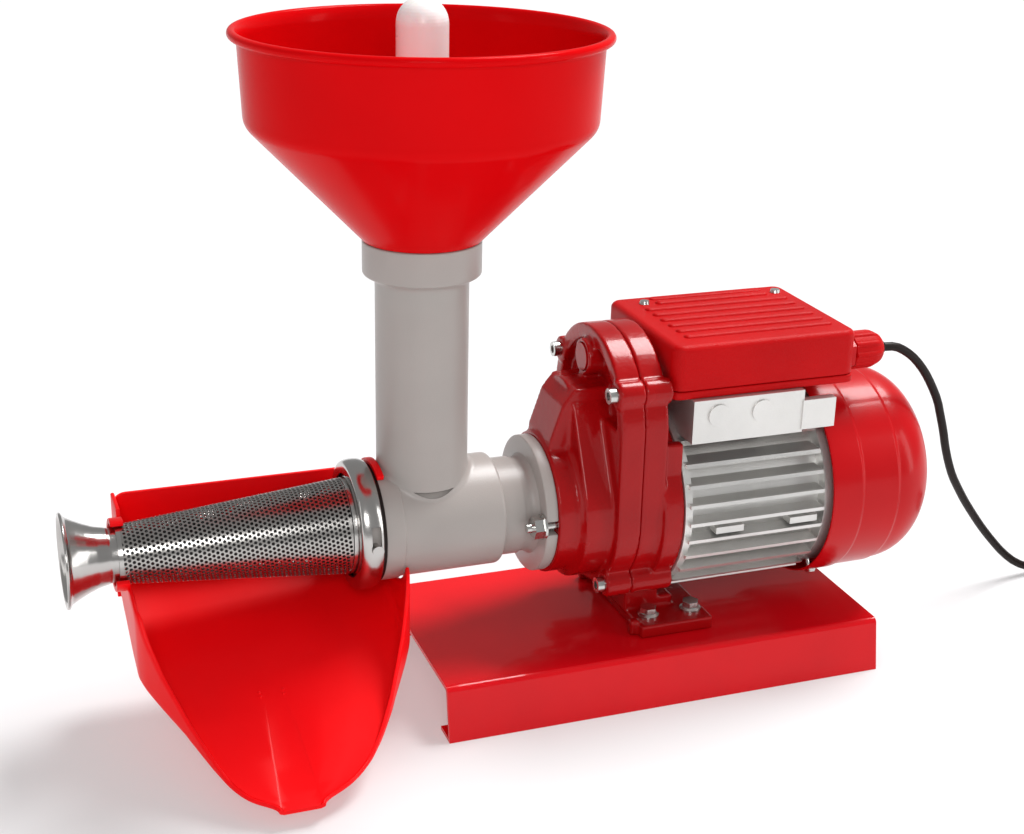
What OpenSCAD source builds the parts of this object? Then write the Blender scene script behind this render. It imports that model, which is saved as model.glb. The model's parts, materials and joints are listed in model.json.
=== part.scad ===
// Electric fruit and tomato press: hopper, feed body with a screw, perforated cone,
// two-stage gear case and a finned induction motor on a folded sheet base.
// X runs along the motor and screw axis, towards the fan cover. Z is up, floor at 0.

/* [Base] */
// Length of the folded base plate
base_len = 308; // [300:1:330]
// Width of the base plate across its top
base_w = 150; // [140:1:170]
// Height of the base plate
base_h = 36; // [30:1:40]
// Thickness of the base sheet
base_t = 2.5; // [1.5:0.5:3]
// Width of the lips folded under the base
base_lip = 18; // [10:1:25]

/* [Screw axis] */
// Height of the motor and screw axis above the floor
axis_z = 121.5; // [120:0.5:125]
// Outer radius of the feed body
body_r = 36.5; // [35:0.5:38]
// Outer radius of the feed tube
tube_r = 29; // [27:0.5:30]
// Wall of the feed body and tube
body_wall = 3.5; // [3:0.5:4]
// Radius of the bolted flange of the feed body
flange_r = 45; // [43:0.5:46]

/* [Hopper] */
// Radius of the hopper over its rolled rim
hopper_r = 112.5; // [105:0.5:120]
// Height of the rim above the floor
hopper_top = 431; // [425:1:440]
// Height of the crease between the cone and the wall
hopper_crease = 376.5; // [370:0.5:380]
// Height of the top of the socket that holds the hopper
socket_top = 305.5; // [300:0.5:310]
// Wall of the hopper
hopper_wall = 2.2; // [1.5:0.1:3]

/* [Screen] */
// Radius of the screen cone at its wide end
screen_r_big = 31; // [30:0.5:31.5]
// Radius of the screen cone at its narrow end
screen_r_small = 18; // [17:0.5:19]
// Radius of the rim of the waste outlet
outlet_r = 29.5; // [26:0.5:32]

/* [Gears] */
// Module of both gear stages
gear_module = 2; // [2]
// Teeth of the motor pinion
pinion_teeth = 10; // [10]
// Teeth of the gear on the lay shaft
lay_teeth = 50; // [50]
// Teeth of the pinion on the lay shaft
lay_pinion_teeth = 15; // [15]
// Teeth of the gear on the output shaft
output_teeth = 45; // [45]

/* [Motor] */
// Radius over the cooling fins
fin_r = 67; // [65:0.5:68]
// Number of cooling fins on each side
fins_per_side = 9; // [5:1:9]
// Radius of the fan cover at its rim
fan_cover_r = 71; // [70:0.5:72]

/* [Cord] */
// Diameter of the power cord
cord_d = 6; // [6]
// Layers of turns in the stored coil
coil_layers = 3; // [3]

/* [Hidden] */
$fn = 64;

eps = 0.01;
run_gap = 0.05;     // radial clearance of a running fit
clear = 0.3;        // gap between faces of pieces that move past each other

// Colours
red_cast = [0.70, 0.03, 0.07];
red_plate = [0.74, 0.05, 0.10];
red_shell = [0.80, 0.03, 0.05];
red_chute = [0.86, 0.05, 0.05];
grey_body = [0.64, 0.62, 0.59];
bare_alu = [0.76, 0.75, 0.73];
steel = [0.70, 0.70, 0.71];
dark_steel = [0.42, 0.42, 0.44];
zinc = [0.78, 0.79, 0.80];
bronze = [0.66, 0.48, 0.26];
copper = [0.72, 0.38, 0.20];
black = [0.06, 0.06, 0.06];
white = [0.93, 0.93, 0.90];

// Stations along X from the hopper axis, from the screen to the fan cover
base_x0 = -6;
base_x1 = base_x0 + base_len;
outlet_x = -226;            // rim of the waste outlet
screen_x0 = -194;           // narrow end of the screen
screen_x1 = -48;            // wide end of the screen
ring_x0 = -50;              // bayonet ring
ring_x1 = -36;
gasket_x1 = -33.5;
body_x1 = 46;               // right end of the feed body
flange_x0 = 69.5;           // flange of the feed body
flange_x1 = 77.5;           // flange face, front of the gear case
pear_x0 = 94;               // front of the first gear chamber
case_x0 = 113;              // front of the joined case halves
case_split = 129;
case_x1 = 145;
register_x1 = 158;
stack_x0 = 178;             // laminated core
stack_x1 = 243;
frame_x1 = 266;             // right end of the motor frame
shield_x1 = 276;
cover_x0 = 262;             // open rim of the fan cover
cover_x1 = 350;

// Middle of the footprint, from the foot of the hopper axis; the model's origin
spout_y = -140;
mid_x = (outlet_x + cover_x1) / 2;
mid_y = (spout_y + hopper_r) / 2;

// Gear case
lay_z = axis_z + gear_module * (lay_teeth + pinion_teeth) / 2;
case_r = 58;
case_wall = 4;
pear_r = 52;
pear_top_r = 25;
gear_space = 3.5;
addendum = 0.9 * gear_module;
dedendum = 1.15 * gear_module;

// Feed body
neck_r = 31;
socket_r = 36.6;
socket_z0 = 283;
tube_in = tube_r - body_wall;
body_in = body_r - body_wall;
band_r = body_r + 1;
band_x1 = -21;
spigot_r = 36;              // end of the feed body inside the bayonet ring
stud_y = 39.3;              // flange stud, from the axis

// Screws that join the case halves: [y, z, length of the rear boss]
case_screw_pos = [[48, 209, 148], [-48, 209, 148], [41, 75, 158], [-41, 75, 158]];
case_screw_r = 3;

// Foot of the gear case
foot_x0 = 136;
foot_x1 = 188;
foot_y = 53;
foot_t = 9;
web_y = 28;
foot_bolt_pos = [[147, -38], [178, -38], [147, 38], [178, 38]];
m6_r = 3;
m6_hole_r = 3.4;

// Terminal box
box_x0 = 149;
box_x1 = 280;
box_y = 55;
box_mid_y = 2;
box_z0 = 202.5;
box_split = 208;
box_z1 = 239.5;
box_wall = 2.5;
box_screw_pos = [[box_x0 + 20, 38], [box_x1 - 12, 38]];
gland_y = -32;
gland_z = 217;
gland_x1 = 312;
switch_x = 215;
rocker_y = box_y - 3;
rocker_pin_r = 1.5;

// Chute
chute_x0 = -190;
chute_x1 = -18;
chute_mid = (chute_x0 + chute_x1) / 2;
chute_t = 2.5;
small_clip_r = 19.2;
big_clip_r = 38;
chute_back = 47.5;

// Cord: the route from the gland to the coil, by hand
cord_r = cord_d / 2;
cord_route = [
  [312, -32, 217], [322, -32, 216.5], [331, -32, 212], [340, -31, 205], [349, -30, 195], [357, -28, 184],
  [365, -26, 171], [371, -23, 158], [377, -20, 145], [383, -16, 131], [390, -12, 117], [398, -8, 103],
  [407, -4, 91], [417, 0, 78], [428, 4, 65], [441, 8, 50], [455, 11, 35], [468, 13, 22], [482, 14, 11],
  [497, 14, 4.5], [514, 14, 3], [532, 14, 3]
];
coil_c = [546, -22];
coil_mid_r = 33;
coil_half_w = cord_d;
plug_x = 582;
plug_z = 18;

function ring_points(cy, cz, r, a0, a1, n) =
  [for (i = [0:n]) [cy + r * cos(a0 + (a1 - a0) * i / n), cz + r * sin(a0 + (a1 - a0) * i / n)]];

// Moves a piece from the hopper axis to the model's origin
module place() {
  translate([-mid_x, -mid_y, 0]) children();
}

// Carries a child's XY outline to YZ and raises it from x0 to x1
module along_x(x0, x1) {
  translate([x0, 0, 0]) rotate([90, 0, 90]) linear_extrude(x1 - x0) children();
}

// Cylinder or cone along X, on a chosen axis
module rod_x(x0, x1, r, y = 0, z = axis_z, r2 = 0) {
  translate([x0, y, z]) rotate([0, 90, 0]) cylinder(h = x1 - x0, r1 = r, r2 = r2 > 0 ? r2 : r);
}

// Solid turned about the screw axis from [x, radius] points
module turned_x(points, z = axis_z) {
  translate([0, 0, z]) rotate([0, 90, 0]) rotate([0, 0, 90]) rotate_extrude() polygon([for (p = points) [p[1], p[0]]]);
}

// Two circles one above the other, joined by their tangents
module pear_outline(z1, r1, z2, r2) {
  a = asin((r1 - r2) / (z2 - z1));
  translate([0, z1]) circle(r1);
  translate([0, z2]) circle(r2);
  polygon([[r1 * cos(a), z1 + r1 * sin(a)], [r2 * cos(a), z2 + r2 * sin(a)],
           [-r2 * cos(a), z2 + r2 * sin(a)], [-r1 * cos(a), z1 + r1 * sin(a)]]);
}

// Spur gear outline with backlash; a tooth points along +Y when phase is 0
module gear_outline(teeth, phase) {
  r = gear_module * teeth / 2;
  pitch = 360 / teeth;
  tooth = [[r - dedendum, -0.29], [r - 0.3 * gear_module, -0.235], [r + 0.35 * gear_module, -0.15],
           [r + addendum, -0.08], [r + addendum, 0.08], [r + 0.35 * gear_module, 0.15],
           [r - 0.3 * gear_module, 0.235], [r - dedendum, 0.29]];
  polygon([for (i = [0:teeth - 1]) for (p = tooth)
    let (a = 90 + phase - (i + p[1]) * pitch) [p[0] * cos(a), p[0] * sin(a)]]);
}

module gear(x0, x1, z, teeth, bore, phase) {
  along_x(x0, x1) translate([0, z]) difference() {
    gear_outline(teeth, phase);
    circle(bore);
  }
}

module hex_along_z(x, y, z, h, across) {
  translate([x, y, z]) cylinder(h = h, r = across / sqrt(3), $fn = 6);
}

// ---- Base ----

module base_outline(inset) {
  w = base_w / 2 - inset;
  wb = base_w / 2 + 5.5 - inset;
  r = 4 - inset * 0.6;
  polygon(concat(
    [[-wb, inset]], ring_points(-w + r, base_h - inset - r, r, 180, 90, 6),
    ring_points(w - r, base_h - inset - r, r, 90, 0, 6), [[wb, inset]]));
}

module base_plate() {
  place() color(red_plate) difference() {
    along_x(base_x0, base_x1) difference() {
      base_outline(0);
      base_outline(base_t);
      translate([-base_w / 2 - 5.5 + base_lip, -1]) square([base_w + 11 - 2 * base_lip, base_t + 2]);
    }
    for (p = foot_bolt_pos) translate([p[0], p[1], base_h - base_t - 1]) cylinder(h = base_t + 2, r = m6_hole_r);
  }
}

module foot_bolts() {
  top = base_h + foot_t;
  place() color(zinc) for (p = foot_bolt_pos) {
    translate([p[0], p[1], base_h - 11]) cylinder(h = foot_t + 11.5, r = m6_r);
    translate([p[0], p[1], top]) cylinder(h = 1.4, r = 7.2);
    translate([p[0], p[1], top + 1.4 - eps]) cylinder(h = 1.2, r1 = 7, r2 = 5.6);
    hex_along_z(p[0], p[1], top + 1, 5.4, 10);
  }
}

module foot_nuts() {
  place() color(zinc) for (p = foot_bolt_pos) difference() {
    union() {
      translate([p[0], p[1], base_h - base_t - 1.5]) cylinder(h = 1.5, r = 6.8);
      hex_along_z(p[0], p[1], base_h - base_t - 7, 5.6, 10);
    }
    translate([p[0], p[1], base_h - base_t - 8]) cylinder(h = 9, r = m6_r + run_gap);
  }
}

// ---- Gear case ----

// Outline of the joint between the two case halves
module case_outline(r) {
  pear_outline(axis_z, r, lay_z, r);
}

// Outside of the front half, before its hollows are cut
module case_front_outside() {
  recess_x = case_x0 + 7;
  rod_x(flange_x1, pear_x0 + 1, 47);
  turned_x([[pear_x0 - 2, 0], [pear_x0 - 2, pear_r - 3.5], [pear_x0 + 1, pear_r - 0.5], [pear_x0 + 1, 0]]);
  along_x(pear_x0, recess_x + 1) pear_outline(axis_z, pear_r, lay_z, pear_top_r);
  // sloping web from the nose to the top of the first chamber
  translate([0, 20, 0]) rotate([90, 0, 0]) linear_extrude(40)
    polygon([[flange_x1 + 2, axis_z], [flange_x1 + 2, axis_z + 48], [88, lay_z + 13], [96, lay_z + pear_top_r - 2],
             [recess_x + 2, lay_z + pear_top_r - 2], [recess_x + 2, axis_z]]);
  along_x(recess_x, case_split) case_outline(case_r);
  // front rim, open round the filler boss
  along_x(case_x0, recess_x + 1) difference() {
    case_outline(case_r);
    intersection() {
      translate([0, lay_z]) circle(48);
      translate([-60, lay_z + 4]) square([120, 60]);
    }
  }
  rod_x(108, recess_x + 3, 12, 0, 219.5);
  for (p = case_screw_pos) rod_x(case_x0 - 1.5, case_split, 8.5, p[0], p[1]);
}

module gear_case_front() {
  place() color(red_cast) difference() {
    case_front_outside();
    // first gear chamber, second gear chamber
    along_x(pear_x0 + gear_space, 124) pear_outline(axis_z, pear_r - gear_space, lay_z, pear_top_r - gear_space);
    along_x(123, case_split + 1) case_outline(case_r - case_wall);
    // seal and bearing seats in the nose
    rod_x(flange_x1 - 1, 84, 20);
    rod_x(83.5, 98, 21);
    // seat of the front lay bush
    rod_x(90, 98, 11, 0, lay_z);
    // filler hole
    rod_x(107, 112, 9, 0, 219.5);
    rod_x(111, 124, 5, 0, 219.5);
    for (s = [-1, 1]) rod_x(flange_x1 - 1, 91, 3, s * stud_y, axis_z);
    for (p = case_screw_pos) rod_x(case_x0 - 3, case_split + 1, case_screw_r + 0.2, p[0], p[1]);
  }
}

module case_foot() {
  translate([foot_x0, -foot_y, base_h]) cube([foot_x1 - foot_x0, 2 * foot_y, foot_t]);
  translate([134, -web_y, base_h + foot_t - 1]) cube([register_x1 - 134, 2 * web_y, 40]);
  translate([134, -web_y, base_h + foot_t - 1]) cube([35, 2 * web_y, 8.5]);
  for (s = [-1, 1]) translate([131, s * (foot_y - 9) - 3, base_h]) cube([6, 6, foot_t + 2]);
}

module gear_case_rear() {
  place() color(red_cast) difference() {
    union() {
      along_x(case_split, case_x1) case_outline(case_r);
      rod_x(case_x1 - 1, register_x1, 62);
      rod_x(case_x1 - 1, 151, 15, 0, lay_z);
      for (s = [-1, 1]) translate([case_x1 - 1, s * 50 - 4, axis_z + 20]) cube([14, 8, 32]);
      for (p = case_screw_pos) rod_x(case_split, p[2], 8.5, p[0], p[1]);
      case_foot();
    }
    along_x(case_split - 1, case_x1 - 6) case_outline(case_r - case_wall);
    // seats of the drive end bearing and the rear lay bush, and the shaft hole
    rod_x(147, register_x1 + 1, 17.5);
    rod_x(case_x1 - 8, 148, 14);
    rod_x(case_x1 - 8, 148, 11, 0, lay_z);
    difference() {
      rod_x(150, register_x1 + 1, 57);
      rod_x(149, register_x1 + 2, 24);
    }
    for (p = case_screw_pos) rod_x(case_split - 1, p[2] - 4, case_screw_r + 0.2, p[0], p[1]);
    for (p = foot_bolt_pos) translate([p[0], p[1], base_h - 1]) cylinder(h = foot_t + 2, r = m6_hole_r);
    for (p = foot_bolt_pos) translate([p[0], p[1], base_h + foot_t]) cylinder(h = 9, r = 8.2);
  }
}

module case_screws() {
  place() color(steel) for (p = case_screw_pos) difference() {
    union() {
      rod_x(case_x0 - 1.5, case_x1 - 3, case_screw_r, p[0], p[1]);
      rod_x(case_x0 - 6.5, case_x0 - 1.5, 5, p[0], p[1]);
    }
    translate([case_x0 - 7, p[0], p[1]]) rotate([0, 90, 0]) cylinder(h = 3.5, r = 2.9, $fn = 6);
  }
}

module carrier_plate() {
  place() color(bare_alu) difference() {
    along_x(112, 116.5) pear_outline(axis_z, pear_r - gear_space - clear, lay_z, pear_top_r - gear_space - clear);
    rod_x(111, 118, 12);
    rod_x(111, 118, 10, 0, lay_z);
  }
}

module carrier_bush() {
  place() color(bronze) difference() {
    rod_x(112, 120, 12);
    rod_x(111, 121, 8 + run_gap);
  }
}

// Ball bearing drawn as one sealed ring
module bearing(x0, x1, r_in, r_out) {
  w = x1 - x0;
  m = (r_in + r_out) / 2;
  turned_x([[x0, r_in], [x1, r_in], [x1, m - 3], [x1 - 0.6, m - 3], [x1 - 0.6, m + 3], [x1, m + 3], [x1, r_out],
            [x0, r_out], [x0, m + 3], [x0 + 0.6, m + 3], [x0 + 0.6, m - 3], [x0, m - 3]]);
}

module output_bearing() {
  place() color(steel) bearing(84, 96, 10 + run_gap, 21);
}

module output_seal() {
  place() color(black) turned_x([[78, 10 + run_gap], [83.8, 10 + run_gap], [83.8, 20], [78, 20], [78, 17], [80, 17], [80, 13], [78, 12]]);
}

module output_shaft() {
  place() color(steel) difference() {
    union() {
      rod_x(64, 111.5, 10);
      rod_x(111.4, 119, 8);
    }
    // hexagonal drive socket for the screw
    translate([63, 0, axis_z]) rotate([0, 90, 0]) cylinder(h = 19, r = 6, $fn = 6);
  }
}

module output_gear() {
  place() color(dark_steel) gear(98.5, 109, axis_z, output_teeth, 10, 180 / output_teeth);
}

module lay_shaft() {
  place() color(steel) rod_x(90.5, 147, 7, 0, lay_z);
}

module lay_gear() {
  place() color(dark_steel) gear(125, 136, lay_z, lay_teeth, 7, 180 / lay_teeth);
}

module lay_pinion() {
  place() color(steel) gear(98, 110, lay_z, lay_pinion_teeth, 7, 180);
}

module lay_bush(x0, x1) {
  difference() {
    rod_x(x0, x1, 11, 0, lay_z);
    rod_x(x0 - 1, x1 + 1, 7 + run_gap, 0, lay_z);
  }
}

module lay_bush_front() {
  place() color(bronze) lay_bush(90.2, 97.5);
}

module lay_bush_rear() {
  place() color(bronze) lay_bush(138, 147.8);
}

module filler_plug() {
  place() color(red_cast) {
    rod_x(107.2, 112, 9, 0, 219.5);
    rod_x(111.9, 120, 5, 0, 219.5);
  }
}

// ---- Motor ----

module motor_frame() {
  fin_gap = 12.3;
  fin_t = 2.4;
  fin_len = frame_x1 - register_x1 - 11;   // the fins stop short of the fan cover
  seat_y = 57;
  place() color(bare_alu) difference() {
    union() {
      rod_x(register_x1, frame_x1, 55);
      rod_x(register_x1, register_x1 + 5, 63);
      rod_x(frame_x1 - 7, frame_x1, 64);
      intersection() {
        rod_x(register_x1 + 1, frame_x1 - 1, fin_r);
        union() {
          for (i = [0:fins_per_side - 1]) translate([register_x1 + 2, -70, axis_z - 50.9 + i * fin_gap])
            cube([fin_len, 140, fin_t]);
          for (i = [-3:3]) translate([register_x1 + 2, i * fin_gap - fin_t / 2, axis_z - 70])
            cube([fin_len, fin_t, 60]);
        }
      }
      // seat of the terminal box, with two round bosses and a lug on each side
      translate([register_x1 + 4, -seat_y, axis_z + 52]) cube([79, 2 * seat_y, box_z0 - axis_z - 52]);
      for (s = [-1, 1]) {
        translate([register_x1 + 82, s * (seat_y - 2) - 3, axis_z + 54]) cube([24, 6, 20]);
        for (x = [180, 211]) translate([x, s * seat_y, 191.5]) rotate([90, 0, 0]) cylinder(h = 2.4, r = 7.5, center = true);
      }
      for (s = [-1, 1]) for (x = [190, 244]) translate([x - 10, s * 58 - 6, axis_z - 10]) cube([20, 12, 4.5]);
    }
    rod_x(register_x1 - 3, frame_x1 + 1, 50);
    translate([register_x1 + 12, -40, axis_z + 45]) cube([55, 80, 40]);
    for (a = [45:90:315]) rotate_about_axis(a) rod_x(register_x1 - 1, frame_x1 + 1, 2.4, 52.5, axis_z);
  }
}

module rotate_about_axis(a) {
  translate([0, 0, axis_z]) rotate([a, 0, 0]) translate([0, 0, -axis_z]) children();
}

module stator_core() {
  place() color(dark_steel) difference() {
    rod_x(stack_x0, stack_x1, 49.9);
    rod_x(stack_x0 - 1, stack_x1 + 1, 30.4);
    for (a = [0:20:340]) rotate_about_axis(a) rod_x(stack_x0 - 1, stack_x1 + 1, 3, 38);
  }
}

module winding_head(x0, x1) {
  turned_x([[x0, 34], [x0 + 2, 32.5], [x1 - 2, 32.5], [x1, 34], [x1, 43], [x1 - 3, 46], [x0 + 3, 46], [x0, 43]]);
}

module stator_windings() {
  place() color(copper) {
    winding_head(stack_x0 - 14, stack_x0);
    winding_head(stack_x1, stack_x1 + 14);
    for (a = [0:20:340]) rotate_about_axis(a) rod_x(stack_x0 - 1, stack_x1 + 1, 2.8, 38);
  }
}

module rotor_shaft() {
  place() color(steel) {
    rod_x(122, 160, 7.5);
    rod_x(159.9, 262, 10);
    rod_x(261.9, 314, 7.5);
  }
}

module rotor_core() {
  place() color(dark_steel) difference() {
    union() {
      rod_x(stack_x0, stack_x1, 30);
      rod_x(stack_x0 - 6, stack_x1 + 6, 27);
    }
    rod_x(stack_x0 - 7, stack_x1 + 7, 10);
  }
}

module motor_pinion() {
  place() color(steel) gear(124, 137, axis_z, pinion_teeth, 7.5, 0);
}

module drive_end_bearing() {
  place() color(steel) bearing(147, 158, 7.5 + run_gap, 17.5);
}

module fan_end_bearing() {
  place() color(steel) bearing(263, 274, 7.5 + run_gap, 17.5);
}

module end_shield() {
  place() color(bare_alu) difference() {
    union() {
      rod_x(frame_x1, shield_x1, 64);
      rod_x(261, frame_x1 + 1, 24);
    }
    rod_x(260, 274, 17.5);
    rod_x(260, shield_x1 + 1, 11);
    difference() {
      rod_x(frame_x1 - 1, 271, 46);
      rod_x(frame_x1 - 2, 272, 24);
    }
    for (a = [45:90:315]) rotate_about_axis(a) rod_x(frame_x1 - 1, shield_x1 + 1, 2.4, 52.5, axis_z);
  }
}

module tie_rods() {
  place() color(zinc) for (a = [45:90:315]) rotate_about_axis(a) {
    rod_x(register_x1 + 0.5, shield_x1 + 1, 2, 52.5, axis_z);
    rod_x(shield_x1, shield_x1 + 4, 4, 52.5, axis_z);
  }
}

module cooling_fan() {
  place() color(black) difference() {
    union() {
      rod_x(288, 310, 13);
      rod_x(288, 291, 50);
      for (a = [0:45:315]) rotate_about_axis(a) translate([290, 8, axis_z - 1]) cube([20, 50, 2]);
    }
    rod_x(287, 311, 7.5);
  }
}

// Pressed cover, shell of revolution with an open rim and a slotted end
module fan_cover() {
  r = fan_cover_r;
  t = 1.5;
  place() color(red_shell) difference() {
    turned_x(concat([[cover_x0, r]], [[284, r], [286, r - 1.2], [312, r - 1.2], [314, r - 2.4]],
      [for (a = [90:-10:0]) [316 + 34 * cos(a), r - 36 + 33.6 * sin(a)]], [[cover_x1, 0], [cover_x1 - t, 0]],
      [for (a = [0:10:90]) [316 + (34 - t) * cos(a), r - 36 + (33.6 - t) * sin(a)]],
      [[314, r - 2.4 - t], [312, r - 1.2 - t], [286, r - 1.2 - t], [284, r - t], [cover_x0, r - t]]));
    for (y = [-24:8:24]) translate([cover_x1 - 4, y - 1.6, axis_z - sqrt(30 * 30 - y * y)])
      cube([8, 3.2, 2 * sqrt(30 * 30 - y * y)]);
    for (a = [30, 150, 270]) rotate_about_axis(a) translate([270, 0, axis_z + r - 4]) cylinder(h = 8, r = 2.3);
  }
}

module fan_cover_screws() {
  place() color(zinc) for (a = [0, 120, 240]) rotate_about_axis(a + 30)
    translate([270, 0, axis_z + 64.2]) {
      cylinder(h = fan_cover_r - 63.5, r = 2);
      translate([0, 0, fan_cover_r - 64.15]) cylinder(h = 2, r1 = 4, r2 = 2.8);
    }
}

// ---- Terminal box ----

module rounded_block(x0, x1, y, z0, z1, r) {
  translate([x0, -y + r, z0]) cube([x1 - x0, 2 * (y - r), z1 - z0]);
  translate([x0 + r, -y, z0]) cube([x1 - x0 - 2 * r, 2 * y, z1 - z0]);
  for (x = [x0 + r, x1 - r]) for (s = [-1, 1]) translate([x, s * (y - r), z0]) cylinder(h = z1 - z0, r = r);
}

module terminal_box_base() {
  place() color(red_cast) translate([0, box_mid_y, 0]) difference() {
    rounded_block(box_x0, box_x1, box_y, box_z0, box_split, 6);
    rounded_block(box_x0 + box_wall, box_x1 - box_wall, box_y - box_wall, box_z0 + 2, box_split + 1, 4);
    translate([190, -15, box_z0 - 1]) cube([30, 30, 4]);
  }
}

module terminal_box_lid() {
  rib_x0 = box_x0 + 14;
  rib_x1 = box_x1 - 10;
  place() color(red_cast) translate([0, box_mid_y, 0]) difference() {
    union() {
      rounded_block(box_x0 + 0.5, box_x1 - 0.5, box_y - 0.5, box_split, box_z1 - 1.5, 6);
      for (i = [-3:3]) translate([rib_x0, i * 12 - 3, box_z1 - 3]) cube([rib_x1 - rib_x0, 6, 3]);
      translate([box_x0 + 5, box_y - 14, box_z1 - 3]) cube([box_x1 - box_x0 - 10, 10, 2.4]);
    }
    rounded_block(box_x0 + 3, box_x1 - 3, box_y - 3, box_split - 1, box_z1 - 5, 4);
    rod_x(box_x1 - 5, box_x1 + 1, 8, gland_y - box_mid_y, gland_z);
    translate([200, box_y - 4, 214]) cube([30, 6, 14]);
    for (p = box_screw_pos)
      translate([p[0], p[1], box_z1 - 6]) {
        cylinder(h = 8, r = 2.2);
        translate([0, 0, 4.5]) cylinder(h = 4, r = 3.9);
      }
  }
}

module terminal_box_screws() {
  place() color(zinc) translate([0, box_mid_y, 0]) for (p = box_screw_pos) {
    translate([p[0], p[1], box_split + 4]) cylinder(h = box_z1 - box_split - 5, r = 1.9);
    translate([p[0], p[1], box_z1 - 1.4]) cylinder(h = 2, r1 = 3.6, r2 = 3);
  }
}

module run_capacitor() {
  place() color(white) translate([0, 22, 0]) rod_x(166, 236, 12, 0, 220);
}

module terminal_block() {
  place() color(white) difference() {
    translate([176, -34, 204.7]) cube([44, 16, 14]);
    for (x = [182:8:214]) translate([x, -26, 212]) cylinder(h = 8, r = 2);
  }
}

module switch_body() {
  place() color(black) translate([0, box_mid_y, 0]) difference() {
    union() {
      translate([200.3, 36, 214.3]) cube([29.4, box_y - 36, 13.4]);
      translate([197, box_y - 0.3, 211]) cube([36, 2.3, 20]);
    }
    translate([203, box_y - 9, 216]) cube([24, 12, 10]);
    translate([switch_x, rocker_y, 214.6]) cylinder(h = 12.8, r = rocker_pin_r + run_gap);
  }
}

module switch_rocker() {
  place() color([0.1, 0.35, 0.12]) translate([0, box_mid_y, 0]) {
    translate([switch_x, box_y, 216.4]) linear_extrude(9.2)
      polygon([[-11.2, -5], [-4, -6.6], [4, -6.6], [11.2, -5], [11.2, 4.6], [0, 2.6], [-11.2, 2.4]]);
    // pin that the rocker turns on
    translate([switch_x, rocker_y, 214.8]) cylinder(h = 12.4, r = rocker_pin_r);
  }
}

module gland_body() {
  place() color(red_cast) difference() {
    union() {
      rod_x(box_x1 - 6, box_x1 + 4, 7.9, gland_y, gland_z);
      translate([box_x1, gland_y, gland_z]) rotate([0, 90, 0]) cylinder(h = 5, r = 13, $fn = 6);
      rod_x(box_x1 + 4.9, 296, 9, gland_y, gland_z);
    }
    rod_x(box_x1 - 7, 297, 4.5, gland_y, gland_z);
  }
}

module gland_nut() {
  place() color(red_cast) difference() {
    translate([0, gland_y, gland_z]) union() {
      rod_x(285.2, 302, 12, 0, 0);
      rod_x(301.9, 309, 11.4, 0, 0, 7);
      for (a = [0:36:324]) rotate([a, 0, 0]) translate([285.2, -1.6, 10.4]) cube([16, 3.2, 2.4]);
    }
    rod_x(284, 296.2, 9 + run_gap, gland_y, gland_z);
    rod_x(295, 310, 5, gland_y, gland_z);
  }
}

module gland_seal() {
  place() color(black) difference() {
    union() {
      rod_x(297, 308.9, 4.9, gland_y, gland_z);
      rod_x(309.05, gland_x1, 5.2, gland_y, gland_z, 4);
      rod_x(308.8, 309.1, 4.9, gland_y, gland_z);
    }
    rod_x(296, gland_x1 + 1, cord_r + run_gap, gland_y, gland_z);
  }
}

// ---- Cord ----

function unit(v) = v / norm(v);
function tangent(p, i) = unit(p[min(i + 1, len(p) - 1)] - p[max(i - 1, 0)]);
function side_of(t) = unit(cross(t, [0, 0.05, 1]));

// Round tube swept along a list of points
module swept_tube(path, r, sides) {
  n = len(path);
  points = [for (i = [0:n - 1]) let (t = tangent(path, i), s = side_of(t), u = cross(s, t))
    for (k = [0:sides - 1]) path[i] + r * (s * cos(360 * k / sides) + u * sin(360 * k / sides))];
  walls = [for (i = [0:n - 2]) for (k = [0:sides - 1]) let (a = i * sides + k, b = i * sides + (k + 1) % sides)
    each [[a, b, b + sides], [a, b + sides, a + sides]]];
  start = [[for (k = [sides - 1:-1:0]) k]];
  finish = [[for (k = [0:sides - 1]) (n - 1) * sides + k]];
  polyhedron(points, concat(walls, start, finish));
}

module power_cord() {
  place() color(black) swept_tube(cord_route, cord_r, 10);
}

module cord_coil() {
  place() color(black) translate([coil_c[0], coil_c[1], 0]) rotate_extrude()
    translate([coil_mid_r - coil_half_w, 0]) square([2 * coil_half_w, coil_layers * cord_d]);
}

// Turned along -Y from the end of the coil
module plug_turned(points) {
  translate([plug_x, 0, plug_z]) rotate([90, 0, 0]) rotate_extrude() polygon([for (p = points) [p[1], p[0]]]);
}

module plug_body() {
  place() color(black) difference() {
    plug_turned([[42, 0], [42, 4], [62, 6], [66, 11], [74, 17], [78, 18], [92, 18], [92, 0]]);
    for (s = [-1, 1]) translate([plug_x + s * 17.6, -99, plug_z]) cube([5, 40, 7], center = true);
  }
}

module plug_pins() {
  place() color(zinc) for (s = [-1, 1]) translate([plug_x + s * 9.5, -92, plug_z]) rotate([90, 0, 0]) {
    cylinder(h = 17.5, r = 2.4);
    translate([0, 0, 17.4]) cylinder(h = 1.6, r1 = 2.4, r2 = 1.4);
  }
}

// ---- Feed body and what it carries ----

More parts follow.
